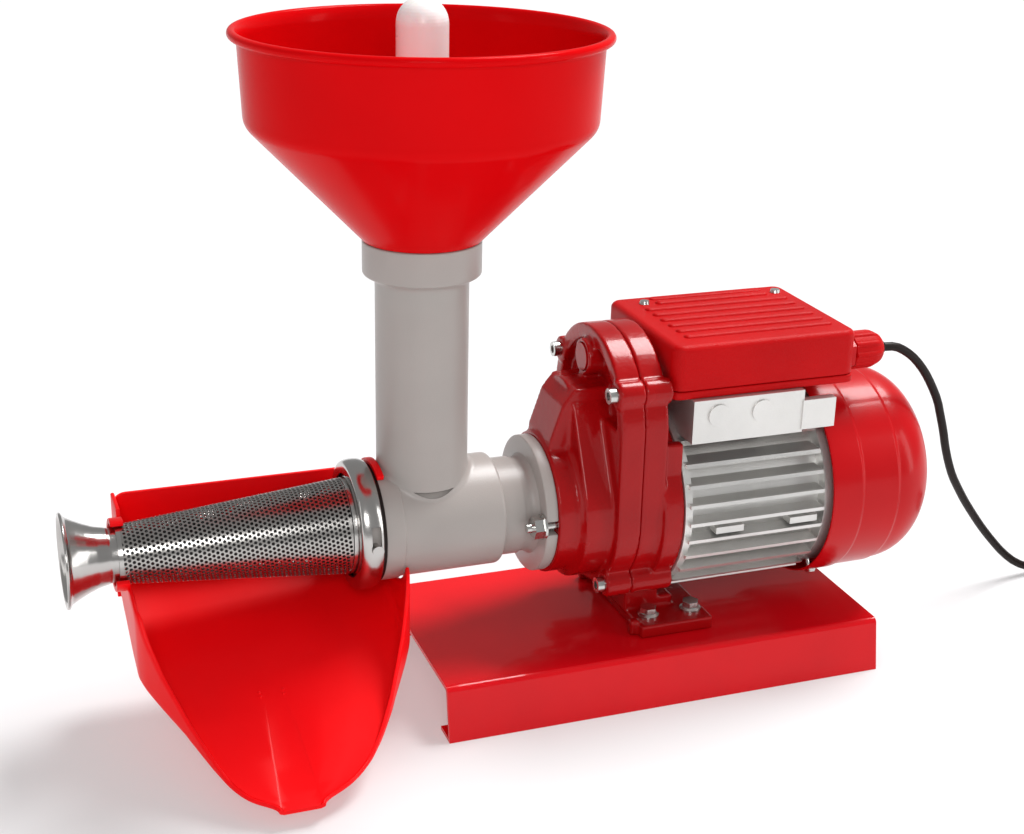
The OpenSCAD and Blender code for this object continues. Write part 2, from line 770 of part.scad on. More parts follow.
module feed_body() {
  place() color(grey_body) difference() {
    union() {
      rod_x(screen_x1 + 1.7, gasket_x1 + 1, spigot_r);
      rod_x(gasket_x1, band_x1, band_r);
      rod_x(band_x1 - 1, body_x1 - 2, body_r);
      rod_x(body_x1 - 2.01, body_x1, body_r, 0, axis_z, body_r - 2);
      rod_x(body_x1 - 1, flange_x0 + 1, neck_r);
      rod_x(flange_x0, flange_x1, flange_r);
      translate([0, 0, axis_z]) cylinder(h = socket_z0 - axis_z + 1, r = tube_r);
      translate([0, 0, socket_z0]) cylinder(h = 4, r1 = socket_r - 3.5, r2 = socket_r);
      translate([0, 0, socket_z0 + 3.99]) cylinder(h = socket_top - socket_z0 - 3.99, r = socket_r);
    }
    rod_x(screen_x1, body_x1 - 4, body_in);
    rod_x(body_x1 - 5, 62, 13);
    rod_x(61, flange_x1 + 1, 24);
    translate([0, 0, axis_z]) cylinder(h = socket_top - axis_z - 18, r = tube_in);
    translate([0, 0, socket_top - 18.5]) cylinder(h = 20, r = 33);
    for (s = [-1, 1]) {
      translate([ring_x1 - 5, s * 34, axis_z]) rotate([s * -90, 0, 0]) cylinder(h = 4, r = 2.5 + run_gap);
      rod_x(flange_x0 - 1, flange_x1 + 1, 4.5, s * stud_y, axis_z);
      translate([flange_x0 - 1, s > 0 ? stud_y : -stud_y - 12, axis_z - 4.5]) cube([10, 12, 9]);
    }
  }
}

module flange_studs() {
  place() color(zinc) for (s = [-1, 1]) rod_x(57.5, 90.5, 2.95, s * stud_y, axis_z);
}

module flange_nuts() {
  place() color(zinc) for (s = [-1, 1]) difference() {
    union() {
      rod_x(flange_x0 - 1.6, flange_x0 - 0.05, 8.3, s * stud_y, axis_z);
      translate([flange_x0 - 7.8, s * stud_y, axis_z]) rotate([0, 90, 0]) rotate([0, 0, 30])
        cylinder(h = 6.3, r = 7.5, $fn = 6);
    }
    rod_x(flange_x0 - 9, flange_x0 + 1, 2.95 + run_gap, s * stud_y, axis_z);
  }
}

// Helical flight: a strip that winds round the core from x_a to x_b
auger_x0 = -186;
auger_x1 = 40;
auger_turns = 7;
auger_steps = 126;
flight_t = 3;
function auger_reach(x) = x > screen_x1 ? 27 : 27 + (x - screen_x1) * 12.8 / (screen_x1 - auger_x0);

module auger_flight() {
  pts = [for (i = [0:auger_steps]) let (f = i / auger_steps, a = 360 * auger_turns * f,
      x = auger_x0 + (auger_x1 - auger_x0 - flight_t) * f, r = auger_reach(x))
    each [[x, 9 * cos(a), 9 * sin(a)], [x, r * cos(a), r * sin(a)],
          [x + flight_t, r * cos(a), r * sin(a)], [x + flight_t, 9 * cos(a), 9 * sin(a)]]];
  walls = [for (i = [0:auger_steps - 1]) for (k = [0:3]) let (a = 4 * i + k, b = 4 * i + (k + 1) % 4)
    each [[a, b, b + 4], [a, b + 4, a + 4]]];
  n = 4 * auger_steps;
  translate([0, 0, axis_z]) polyhedron(pts, concat([[3, 2, 1, 0]], walls, [[n, n + 1, n + 2, n + 3]]));
}

module auger() {
  place() color(black) {
    auger_flight();
    turned_x([[auger_x0 - 6, 0], [auger_x0 - 4, 8], [auger_x0, 12.4], [-52, 20], [-40, 20], [-26, 14], [auger_x1, 14], [auger_x1, 12.7],
              [62, 12.7], [62, 0]]);
    translate([61, 0, axis_z]) rotate([0, 90, 0]) cylinder(h = 18, r = 5.9, $fn = 6);
  }
}

module body_gasket() {
  place() color(black) turned_x([[ring_x1 + 0.3, spigot_r], [gasket_x1, spigot_r], [gasket_x1, 37.8], [ring_x1 + 0.3, 37.8]]);
}

module bayonet_studs() {
  place() color(steel) for (s = [-1, 1]) {
    translate([ring_x1 - 5, s * 35, axis_z]) rotate([s * -90, 0, 0]) cylinder(h = 9, r = 2.5);
    translate([ring_x1 - 5, s * 42.6, axis_z]) rotate([s * -90, 0, 0]) cylinder(h = 1.8, r = 3.6);
  }
}

// Rolled steel ring; its slots let it turn on the two studs
module bayonet_ring() {
  place() color(steel) difference() {
    turned_x([[ring_x0, 33], [ring_x0, 41], [ring_x0 + 1, 42], [ring_x1 - 1, 42], [ring_x1, 41.2], [ring_x1, 39],
              [ring_x0 + 1.5, 39], [ring_x0 + 1.5, 33]]);
    for (s = [0, 180]) for (a = [0:2.5:20]) rotate_about_axis(s - a)
      translate([ring_x1 - 5, 35, axis_z]) rotate([-90, 0, 0]) cylinder(h = 10, r = 2.9);
    for (s = [0, 180]) rotate_about_axis(s - 20) translate([ring_x1 - 5, 35, axis_z - 2.9]) cube([10, 10, 5.8]);
  }
}

module screen_cone() {
  t = 1;
  place() color(steel) turned_x([[screen_x0, screen_r_small], [screen_x1, screen_r_big], [screen_x1, 38.5], [screen_x1 + 1.2, 38.5],
    [screen_x1 + 1.2, screen_r_big - t], [screen_x1, screen_r_big - t], [screen_x0, screen_r_small - t]]);
}

module waste_outlet() {
  t = 1;
  place() color(steel) turned_x([[-198.5, 16.8], [-194.2, 16.8], [-194.2, 16.8 - t], [-199, 16.8 - t], [-206, 18.7 - t],
    [-212, 21.1 - t], [-218, 23.9 - t], [-222.6, 26.4 - t], [outlet_x, outlet_r - 2.1], [outlet_x, outlet_r],
    [-223.6, outlet_r], [-223.6, 27.2], [-218, 24], [-212, 21.2], [-206, 18.8], [-201, 17.3]]);
}

// ---- Chute ----

// Plan of the chute at its floor: straight sides, slanting front, spout lip
function chute_plan(o) = [
  [chute_x0 + o, chute_back - o], [chute_x1 - o, chute_back - o], [chute_x1 - o, -36], [chute_x1 - 3 - o, -44],
  [chute_x1 - 17 - o * 0.8, -70], [chute_x1 - 37 - o * 0.7, -103], [chute_x1 - 59 - o * 0.5, -125 + o * 0.8],
  [chute_mid + 5, -134 + o], [chute_mid - 28, -132 + o],
  [chute_x0 + 41 + o * 0.5, -122 + o * 0.8], [chute_x0 + 22 + o * 0.8, -85], [chute_x0 + 3 + o, -46], [chute_x0 + o, -38]];

// Height of the floor and of the rim along Y
chute_floor = [[chute_back, 85], [-142, 9.2]];
chute_rim = [[chute_back, 142], [20, 142], [16, 112], [-24, 106], [-41, 100], [-50, 84], [-62, 68], [-84, 46],
             [-105, 30], [-120, 19], [-142, 13]];

module chute_side(points) {
  translate([chute_x0 - 20, 0, 0]) rotate([90, 0, 90]) linear_extrude(chute_x1 - chute_x0 + 40) polygon(points);
}

module clip_arc(x0, x1, r_in, r_out, a0, a1) {
  along_x(x0, x1) translate([0, axis_z]) polygon(concat(
    [for (a = [a0:6:a1]) [r_out * cos(a), r_out * sin(a)]], [for (a = [a1:-6:a0]) [r_in * cos(a), r_in * sin(a)]]));
}

module chute() {
  rise = 2.6;
  place() color(red_chute) difference() {
    union() {
      difference() {
        intersection() {
          linear_extrude(160) polygon(chute_plan(0));
          chute_side(concat([chute_floor[1]], [chute_floor[0]], chute_rim));
        }
        intersection() {
          linear_extrude(160) polygon(chute_plan(chute_t));
          chute_side([[chute_back + 1, chute_floor[0][1] + rise + 0.4], [chute_floor[1][0], chute_floor[1][1] + rise],
                      [chute_floor[1][0], 170], [chute_back + 1, 170]]);
        }
      }
      // spout lip past the front edge
      intersection() {
        translate([chute_mid - 23, spout_y, 0]) cube([27, 16, 30]);
        chute_side([[-141, 9.6], [-120, 18], [-120, 20.6], [-141, 12.2]]);
      }
      // hook over the feed body, clip over the screen's narrow end
      clip_arc(-34, chute_x1, big_clip_r, big_clip_r + 3.5, -54, 6);
      clip_arc(-34, -29.5, big_clip_r, big_clip_r + 3.5, 0, 114);
      clip_arc(-196.5, chute_x0 + 1.5, small_clip_r, small_clip_r + 3.4, -150, 96);
      translate([-34, 38, axis_z]) cube([16, 9, 20]);
    }
    rod_x(-34.5, chute_x1 + 1, big_clip_r);
    rod_x(-199, -186, small_clip_r);
    // way in above each clip
    translate([-199, -60, axis_z + 2]) cube([14, 61, 40]);
  }
}

// ---- Hopper and pestle ----

module hopper() {
  t = hopper_wall;
  r_wall = 105;
  r_lip = 108;
  r_spout = 32.7;
  place() color(red_shell) rotate_extrude() polygon(concat(
    [[r_spout - t, socket_top - 16], [r_spout, socket_top - 16], [r_spout, socket_top], [36.2, socket_top + 0.3],
     [r_wall - 3, hopper_crease - 3], [r_wall - 0.8, hopper_crease + 0.5], [r_wall, hopper_crease + 4]],
    [[r_lip - 1, hopper_top - 8], [r_lip, hopper_top - 3.5]],
    ring_points(hopper_r - 2.8, hopper_top - 2.8, 2.8, -120, 90, 14), [[r_lip - t + 0.4, hopper_top - 2.2]],
    [[r_lip - 1 - t, hopper_top - 8], [r_wall - t, hopper_crease + 4], [r_wall - 0.8 - t, hopper_crease + 1.3],
     [r_wall - 4.6, hopper_crease - 1.8], [r_spout - t + 2, socket_top + 2.4], [r_spout - t, socket_top]]));
}

module pestle() {
  r = 15.5;
  top = 449;
  rest = socket_top + 11.2;
  place() color(white) rotate_extrude() polygon(concat(
    [[0, 190], [r - 3, 190], [r, 193], [r, rest - 3], [41, rest], [42, rest + 1.5], [41, rest + 4], [r + 2, rest + 6], [r, rest + 9]],
    ring_points(0, top - r, r, 0, 90, 12)));
}

base_plate();
foot_bolts();
foot_nuts();
gear_case_front();
gear_case_rear();
case_screws();
carrier_plate();
carrier_bush();
output_bearing();
output_seal();
output_shaft();
output_gear();
lay_shaft();
lay_gear();
lay_pinion();
lay_bush_front();
lay_bush_rear();
filler_plug();
motor_frame();
stator_core();
stator_windings();
rotor_shaft();
rotor_core();
motor_pinion();
drive_end_bearing();
fan_end_bearing();
end_shield();
tie_rods();
cooling_fan();
fan_cover();
fan_cover_screws();
terminal_box_base();
terminal_box_lid();
terminal_box_screws();
run_capacitor();
terminal_block();
switch_body();
switch_rocker();
gland_body();
gland_nut();
gland_seal();
power_cord();
cord_coil();
plug_body();
plug_pins();
feed_body();
flange_studs();
flange_nuts();
auger();
body_gasket();
bayonet_studs();
bayonet_ring();
screen_cone();
waste_outlet();
chute();
hopper();
pestle();
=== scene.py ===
"""Looks of the fruit and tomato press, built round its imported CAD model. All lengths are in metres."""
import json
import math

import bmesh
import bpy
import numpy as np
from mathutils import Matrix, Vector

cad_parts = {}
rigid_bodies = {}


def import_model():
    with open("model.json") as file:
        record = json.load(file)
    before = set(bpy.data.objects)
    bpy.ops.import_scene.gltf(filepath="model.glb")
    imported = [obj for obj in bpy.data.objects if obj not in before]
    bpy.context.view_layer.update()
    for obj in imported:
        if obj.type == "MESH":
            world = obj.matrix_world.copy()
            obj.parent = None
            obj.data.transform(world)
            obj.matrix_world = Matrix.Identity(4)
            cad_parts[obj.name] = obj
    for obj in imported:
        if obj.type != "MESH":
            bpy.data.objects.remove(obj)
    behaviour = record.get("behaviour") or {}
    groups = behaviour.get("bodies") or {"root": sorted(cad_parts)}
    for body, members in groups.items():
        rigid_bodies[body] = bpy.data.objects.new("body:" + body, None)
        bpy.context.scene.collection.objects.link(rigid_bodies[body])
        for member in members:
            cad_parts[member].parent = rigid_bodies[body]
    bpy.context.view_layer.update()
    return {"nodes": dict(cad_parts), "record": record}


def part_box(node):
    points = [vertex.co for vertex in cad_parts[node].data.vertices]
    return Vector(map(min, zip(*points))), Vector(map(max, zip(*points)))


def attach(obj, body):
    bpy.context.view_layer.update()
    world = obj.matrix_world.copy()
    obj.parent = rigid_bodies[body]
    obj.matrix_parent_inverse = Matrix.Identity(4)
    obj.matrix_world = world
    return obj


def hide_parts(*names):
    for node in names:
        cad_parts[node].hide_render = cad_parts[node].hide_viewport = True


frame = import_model()

MM = 0.001
hopper_low, hopper_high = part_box("hopper")
HOPPER_X = (hopper_low.x + hopper_high.x) / 2
HOPPER_Y = (hopper_low.y + hopper_high.y) / 2
shaft_low, shaft_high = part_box("rotor_shaft")
AXIS_Z = (shaft_low.z + shaft_high.z) / 2 / MM     # height of the screw's axis, in mm


def at(x, y, z):
    """A point given in mm from the foot of the hopper's axis, in the row frame."""
    return Vector((HOPPER_X + x * MM, HOPPER_Y + y * MM, z * MM))


# ---- camera ----
AZIMUTH, ELEVATION, ROLL = math.radians(-20.41), math.radians(20.93), math.radians(1.29)
DISTANCE = 1.07566
LOOK_AT = at(60.71, 0, 182.78)
LENS = 58.72
back = Vector((math.sin(AZIMUTH) * math.cos(ELEVATION),
               -math.cos(AZIMUTH) * math.cos(ELEVATION),
               math.sin(ELEVATION)))
right = Vector((math.cos(AZIMUTH), math.sin(AZIMUTH), 0))
up = back.cross(right)
right, up = (right * math.cos(ROLL) + up * math.sin(ROLL),
             up * math.cos(ROLL) - right * math.sin(ROLL))
camera_data = bpy.data.cameras.new("camera")
camera = bpy.data.objects.new("camera", camera_data)
bpy.context.scene.collection.objects.link(camera)
turned = Matrix((right, up, back)).transposed().to_4x4()
camera.matrix_world = Matrix.Translation(LOOK_AT + back * DISTANCE) @ turned
camera_data.lens = LENS
camera_data.sensor_width = 36
camera_data.clip_start, camera_data.clip_end = 0.01, 20
bpy.context.scene.camera = camera


# ---- mesh helpers ----
def add_object(name, data, body=None):
    obj = bpy.data.objects.new(name, data)
    bpy.context.scene.collection.objects.link(obj)
    if body:
        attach(obj, body)
    return obj


def smooth_mesh(mesh, angle=35):
    """Smooth shading, with edges sharper than the angle kept."""
    mesh.shade_smooth()
    bm = bmesh.new()
    bm.from_mesh(mesh)
    for e in bm.edges:
        e.smooth = not (len(e.link_faces) == 2 and e.calc_face_angle(0) > math.radians(angle))
    bm.to_mesh(mesh)
    bm.free()


def mesh_of(name, verts, faces, angle=35):
    mesh = bpy.data.meshes.new(name)
    mesh.from_pydata([tuple(v) for v in verts], [], faces)
    mesh.validate()
    bm = bmesh.new()
    bm.from_mesh(mesh)
    bmesh.ops.remove_doubles(bm, verts=bm.verts, dist=1e-6)
    bmesh.ops.dissolve_degenerate(bm, edges=bm.edges, dist=1e-7)
    bmesh.ops.recalc_face_normals(bm, faces=bm.faces)
    bm.to_mesh(mesh)
    bm.free()
    smooth_mesh(mesh, angle)
    return mesh


def lathe(name, profile, axis="z", centre=(0, 0, 0), steps=128, angle=35):
    """Turned mesh from points (along, radius) in mm, along X from the hopper axis or Z from the floor."""
    verts, faces, rings = [], [], []
    for along, r in profile:
        ring = []
        for k in range(steps if r > 1e-6 else 1):
            a = 2 * math.pi * k / steps
            c, s = r * math.cos(a), r * math.sin(a)
            ring.append(len(verts))
            if axis == "x":
                verts.append(at(along, centre[1] + c, centre[2] + s))
            else:
                verts.append(at(centre[0] + c, centre[1] + s, along))
        rings.append(ring)
    for a, b in zip(rings, rings[1:]):
        for k in range(steps):
            n = (k + 1) % steps
            if len(a) == 1 and len(b) > 1:
                faces.append((a[0], b[k], b[n]))
            elif len(b) == 1 and len(a) > 1:
                faces.append((a[k], b[0], a[n]))
            elif len(a) > 1:
                faces.append((a[k], b[k], b[n], a[n]))
    return mesh_of(name, verts, faces, angle)


def rounded(points, radius, steps=4):
    """The open line of points with each inner corner turned into an arc of about that radius."""
    if not isinstance(radius, (list, tuple)):
        radius = [radius] * len(points)
    out = [Vector(points[0])]
    for i in range(1, len(points) - 1):
        p, q, s = (Vector(points[j]) for j in (i - 1, i, i + 1))
        into, away = (p - q), (s - q)
        reach = min(radius[i], into.length * 0.49, away.length * 0.49)
        if reach < 1e-6:
            out.append(q)
            continue
        a, b = q + into.normalized() * reach, q + away.normalized() * reach
        for k in range(steps + 1):
            t = k / steps
            out.append((a * (1 - t) + q * t) * (1 - t) + (q * (1 - t) + b * t) * t)
    out.append(Vector(points[-1]))
    return out


# ---- the cord and its coil ----
CORD_R = 3
# The cord's route up to its coil, in mm from the foot of the hopper's axis, as the CAD model has it
ROUTE = [(312, -32, 217), (322, -32, 216.5), (331, -32, 212), (340, -31, 205), (349, -30, 195), (357, -28, 184),
         (365, -26, 171), (371, -23, 158), (377, -20, 145), (383, -16, 131), (390, -12, 117), (398, -8, 103),
         (407, -4, 91), (417, 0, 78), (428, 4, 65), (441, 8, 50), (455, 11, 35), (468, 13, 22), (482, 14, 11),
         (497, 14, 4.5), (514, 14, 3), (532, 14, 3)]
COIL = (546, -22)
TURNS = [(36, 3), (30, 3), (30, 9), (36, 9), (30, 15), (36, 15)]     # radius and height of each turn
TURN_COUNT, PER_TURN = 6.25, 36
CROSS_FROM = 0.75                        # share of a turn after which the cord steps over to the next one
PLUG_X, PLUG_LEAD = 582, ((-30, 15.6), (-38, 17.2), (-46, 18), (-56, 18))
GLAND = ROUTE[0]


def cord_points():
    """Route, coil and the last stretch to the plug, in mm."""
    points = [Vector(p) for p in ROUTE]
    for i in range(int(TURN_COUNT * PER_TURN) + 1):
        turn = i / PER_TURN
        k = min(int(turn), len(TURNS) - 1)
        f = turn - k
        step = max(0.0, (f - CROSS_FROM) / (1 - CROSS_FROM)) if k < len(TURNS) - 1 else 0.0
        step = step * step * (3 - 2 * step)
        (r0, z0), (r1, z1) = TURNS[k], TURNS[min(k + 1, len(TURNS) - 1)]
        r, z = r0 + (r1 - r0) * step, z0 + (z1 - z0) * step
        a = math.pi / 2 - 2 * math.pi * turn
        points.append(Vector((COIL[0] + r * math.cos(a), COIL[1] + r * math.sin(a), z)))
    return points + [Vector((PLUG_X, y, z)) for y, z in PLUG_LEAD]


def smooth_path(points, rounds=2):
    """Corner cutting that keeps both ends."""
    for _ in range(rounds):
        new = [points[0]]
        for a, b in zip(points, points[1:]):
            new += [a * 0.75 + b * 0.25, a * 0.25 + b * 0.75]
        points = new + [points[-1]]
    return points


def tube(path, radius, sides=16):
    """Closed round tube along a list of points in mm, carried along without twist."""
    verts, faces = [], []
    last = len(path) - 1
    tangents = [(path[min(i + 1, last)] - path[max(i - 1, 0)]).normalized() for i in range(last + 1)]
    side = tangents[0].cross(Vector((0, 0.05, 1))).normalized()
    for i, (p, t) in enumerate(zip(path, tangents)):
        side = (side - t * side.dot(t)).normalized()
        other = t.cross(side)
        for k in range(sides):
            a = 2 * math.pi * k / sides
            verts.append(at(*(p + (side * math.cos(a) + other * math.sin(a)) * radius)))
    for i in range(len(path) - 1):
        for k in range(sides):
            n = (k + 1) % sides
            faces.append((i * sides + k, i * sides + n, (i + 1) * sides + n, (i + 1) * sides + k))
    faces += [tuple(range(sides))[::-1], tuple(range((len(path) - 1) * sides, len(path) * sides))]
    return verts, faces


def build_cord():
    path = smooth_path(cord_points(), 1)
    obj = add_object("power_cord_flex", mesh_of("power_cord_flex", *tube(path, CORD_R), angle=60), "machine")
    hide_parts("power_cord", "cord_coil")
    rows = [tuple(at(*p)) for p in path]
    length = sum((Vector(q) - Vector(r)).length for q, r in zip(rows, rows[1:]))
    return obj, rows, length


cord, cord_path, cord_length = build_cord()


# ---- materials ----
def nodes_of(name):
    material = bpy.data.materials.new(name)
    material.use_nodes = True
    return material, material.node_tree.nodes, material.node_tree.links


def tint(colour, f):
    return tuple(min(1.0, c * f) for c in colour[:3]) + (1,)


GRAIN_DEPTH = 0.0006


def finish_of(name, colour, rough, metal=0.0, coat=0.0, coat_rough=0.05, grain=900, bump=0.05, spread=0.08,
              rough_spread=0.05, patch=18, stretch=(1, 1, 1), specular=0.5, translucent=0.0):
    """Procedural finish: colour and roughness vary softly over patches, and fine noise gives the bump."""
    material, nodes, links = nodes_of(name)
    shader = nodes["Principled BSDF"]
    coords = nodes.new("ShaderNodeTexCoord")
    mapping = nodes.new("ShaderNodeMapping")
    mapping.inputs["Scale"].default_value = stretch
    links.new(coords.outputs["Object"], mapping.inputs["Vector"])
    big = nodes.new("ShaderNodeTexNoise")
    big.inputs["Scale"].default_value = patch
    big.inputs["Detail"].default_value = 5
    links.new(coords.outputs["Object"], big.inputs["Vector"])
    fine = nodes.new("ShaderNodeTexNoise")
    fine.inputs["Scale"].default_value = grain
    fine.inputs["Detail"].default_value = 3
    links.new(mapping.outputs["Vector"], fine.inputs["Vector"])
    ramp = nodes.new("ShaderNodeValToRGB")
    ramp.color_ramp.elements[0].position, ramp.color_ramp.elements[1].position = 0.3, 0.7
    ramp.color_ramp.elements[0].color = tint(colour, 1 - spread)
    ramp.color_ramp.elements[1].color = tint(colour, 1 + spread)
    links.new(big.outputs["Fac"], ramp.inputs["Fac"])
    links.new(ramp.outputs["Color"], shader.inputs["Base Color"])
    rough_map = nodes.new("ShaderNodeMapRange")
    rough_map.inputs["To Min"].default_value = max(0.02, rough - rough_spread)
    rough_map.inputs["To Max"].default_value = rough + rough_spread
    links.new(big.outputs["Fac"], rough_map.inputs["Value"])
    links.new(rough_map.outputs["Result"], shader.inputs["Roughness"])
    relief = nodes.new("ShaderNodeBump")
    relief.inputs["Strength"].default_value = bump
    relief.inputs["Distance"].default_value = GRAIN_DEPTH
    links.new(fine.outputs["Fac"], relief.inputs["Height"])
    links.new(relief.outputs["Normal"], shader.inputs["Normal"])
    shader.inputs["Metallic"].default_value = metal
    shader.inputs["Specular IOR Level"].default_value = specular
    shader.inputs["Coat Weight"].default_value = coat
    shader.inputs["Coat Roughness"].default_value = coat_rough
    if translucent:
        shader.inputs["Subsurface Weight"].default_value = translucent
        shader.inputs["Subsurface Radius"].default_value = (0.02, 0.012, 0.01)
        shader.inputs["Subsurface Scale"].default_value = 0.3
    return material


MATERIALS = {
    "red_cast": finish_of("cast_red_gloss", (0.34, 0.0018, 0.003), 0.26, coat=0.24, coat_rough=0.06,
                          grain=260, bump=0.3, patch=30, specular=0.15),
    "red_sheet": finish_of("sheet_red_gloss", (0.68, 0.003, 0.008), 0.22, coat=0.30,
                           grain=420, bump=0.08, spread=0.05, specular=0.1),
    "red_lid": finish_of("powder_red", (0.50, 0.0025, 0.004), 0.40,
                         grain=1300, bump=0.55, spread=0.07, specular=0.09),
    "red_cover": finish_of("cover_red_satin", (0.50, 0.0022, 0.005), 0.30, coat=0.16, coat_rough=0.12,
                           grain=800, bump=0.1, spread=0.05, specular=0.12),
    "hopper_red": finish_of("hopper_red_gloss", (0.62, 0.0015, 0.003), 0.22, coat=0.03,
                            grain=160, spread=0.03, specular=0.02),
    "chute_red": finish_of("chute_red_satin", (0.97, 0.0030, 0.006), 0.36, coat=0.05, coat_rough=0.2,
                           grain=1100, bump=0.08, spread=0.03, specular=0.1),
    "body_grey": finish_of("grey_plastic", (0.37, 0.34, 0.32), 0.34,
                           grain=1500, bump=0.12, spread=0.04, specular=0.4),
    "aluminium": finish_of("cast_aluminium", (0.70, 0.69, 0.67), 0.36, metal=0.8,
                           grain=1200, bump=0.35, spread=0.1, rough_spread=0.08),
    "stainless": finish_of("stainless_bright", (0.50, 0.485, 0.47), 0.18, metal=1.0,
                           grain=500, spread=0.05, stretch=(6, 0.4, 0.4)),
    "gear_steel": finish_of("machined_steel", (0.42, 0.42, 0.43), 0.32, metal=1.0, bump=0.1),
    "zinc": finish_of("zinc_plate", (0.60, 0.60, 0.58), 0.26, metal=1.0, grain=700, bump=0.12),
    "bronze": finish_of("bearing_bronze", (0.45, 0.27, 0.10), 0.36, metal=1.0, bump=0.1),
    "copper": finish_of("enamelled_copper", (0.55, 0.21, 0.09), 0.35, metal=0.9,
                        grain=700, bump=0.3, stretch=(0.3, 1, 1)),
    "white_plastic": finish_of("white_plastic", (0.94, 0.91, 0.90), 0.28,
                               grain=800, spread=0.02, translucent=0.25),
    "black_plastic": finish_of("black_plastic", (0.018, 0.018, 0.018), 0.4, grain=1300, bump=0.2, spread=0.15),
    "green_plastic": finish_of("green_plastic", (0.02, 0.16, 0.03), 0.3),
    "rubber": finish_of("dark_rubber", (0.010, 0.005, 0.004), 0.45,
                        grain=1500, bump=0.15, spread=0.15, specular=0.2),
}
SCREEN_STEEL = finish_of("screen_sheet_steel", (0.40, 0.385, 0.37), 0.24, metal=1.0, grain=500, spread=0.06)
SLOTS = {part["node"]: part["material_slot"] for part in frame["record"]["subparts"]}


def dress(obj, body, slot, *nodes):
    """A made piece rides on its body, takes its slot's finish and stands for its CAD nodes."""
    obj.data.materials.append(MATERIALS[slot])
    if obj.parent is None:
        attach(obj, body)
    if nodes:
        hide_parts(*nodes)
    return obj


def join_meshes(name, meshes, angle=35):
    bm = bmesh.new()
    for mesh in meshes:
        bm.from_mesh(mesh)
    out = bpy.data.meshes.new(name)
    bm.to_mesh(out)
    bm.free()
    smooth_mesh(out, angle)
    return out


def baked(obj):
    """The object's mesh with its modifiers applied, in place."""
    bpy.context.view_layer.update()
    done = bpy.data.meshes.new_from_object(obj.evaluated_get(bpy.context.evaluated_depsgraph_get()))
    obj.modifiers.clear()
    obj.data = done
    return obj


def beveled(name, mesh, width, segments=3, angle=32):
    obj = add_object(name, mesh)
    bevel = obj.modifiers.new("edge_round", "BEVEL")
    bevel.width, bevel.segments = width * MM, segments
    bevel.limit_method, bevel.angle_limit = "ANGLE", math.radians(angle)
    baked(obj)
    smooth_mesh(obj.data, 50)
    return obj


def softened(name, nodes, voxel, rounds, extra=()):
    """Cast or moulded piece: CAD solids remade as one skin whose edges and inner corners are rounded."""
    mesh = join_meshes(name, [frame["nodes"][n].data for n in nodes] + list(extra))
    obj = add_object(name, mesh)
    weld = obj.modifiers.new("weld", "WELD")
    weld.merge_threshold = 1e-5
    remesh = obj.modifiers.new("skin", "REMESH")
    remesh.mode, remesh.voxel_size = "VOXEL", voxel * MM
    relax = obj.modifiers.new("relax", "SMOOTH")
    relax.factor, relax.iterations = 0.5, rounds
    baked(obj)
    obj.data.shade_smooth()
    return obj


def loft(sections, closed=True, caps=True):
    """Verts and faces through rings of points in mm, all of one length."""
    verts = [at(*p) for section in sections for p in section]
    n, faces = len(sections[0]), []
    for i in range(len(sections) - 1):
        for k in range(n if closed else n - 1):
            m = (k + 1) % n
            faces.append((i * n + k, i * n + m, (i + 1) * n + m, (i + 1) * n + k))
    if caps:
        faces += [tuple(range(n))[::-1], tuple(range((len(sections) - 1) * n, len(sections) * n))]
    return verts, faces


def prism_x(name, outline, x0, x1):
    return mesh_of(name, *loft([[(x, y, z) for y, z in outline] for x in (x0, x1)]))


def arc(cy, cz, r, a0, a1, n):
    turns = [math.radians(a0 + (a1 - a0) * i / n) for i in range(n + 1)]
    return [(cy + r * math.cos(a), cz + r * math.sin(a)) for a in turns]


def soft_block(name, x0, x1, y0, y1, z0, z1, corner, top, bottom=0.6, steps=5):
    """Block with upright corners of one radius and top and bottom edges of others."""
    levels = [(z0 + bottom * (1 - math.cos(a)), bottom * (1 - math.sin(a)))
              for a in [math.pi / 2 * i / steps for i in range(steps + 1)]]
    levels += [(z1 - top * (1 - math.sin(a)), top * (1 - math.cos(a)))
               for a in [math.pi / 2 * i / (steps + 2) for i in range(steps + 3)]]
    sections = []
    for z, inset in levels:
        r = max(corner - inset, 0.15)
        ring = []
        for cx, cy, a0 in ((x1 - inset - r, y1 - inset - r, 0), (x0 + inset + r, y1 - inset - r, 90),
                           (x0 + inset + r, y0 + inset + r, 180), (x1 - inset - r, y0 + inset + r, 270)):
            ring += [(x, y, z) for x, y in arc(cx, cy, r, a0, a0 + 90, 6)]
        sections.append(ring)
    return mesh_of(name, *loft(sections), angle=40)


# ---- hopper and pestle ----
def build_hopper():
    """Bowl with a rolled bead; its neck stands in the feed tube's socket."""
    outer = rounded([(289.5, 32.7), (305.2, 32.7), (305.8, 36.4), (376.4, 104.9), (424.5, 107.2),
                     (427.2, 108.9)],
                    [0, 0, 1.2, 4.5, 5, 0], 6)
    bead = [(428.2 + 2.8 * math.sin(math.radians(a)), 109.7 + 2.8 * math.cos(math.radians(a)))
            for a in range(-80, 171, 12)]
    inner = rounded([(428.6, 106.6), (424, 105.2), (377.6, 102.6), (308, 32.2), (305, 30.5), (289.5, 30.5)],
                    [0, 4, 4.5, 3, 1, 0], 6)
    ring = [*outer, *bead, *inner, (289.5, 32.7)]
    mesh = lathe("hopper_bowl", [tuple(p) for p in ring], "z", steps=192, angle=60)
    dress(add_object("hopper_bowl", mesh), "hopper", "hopper_red", "hopper")


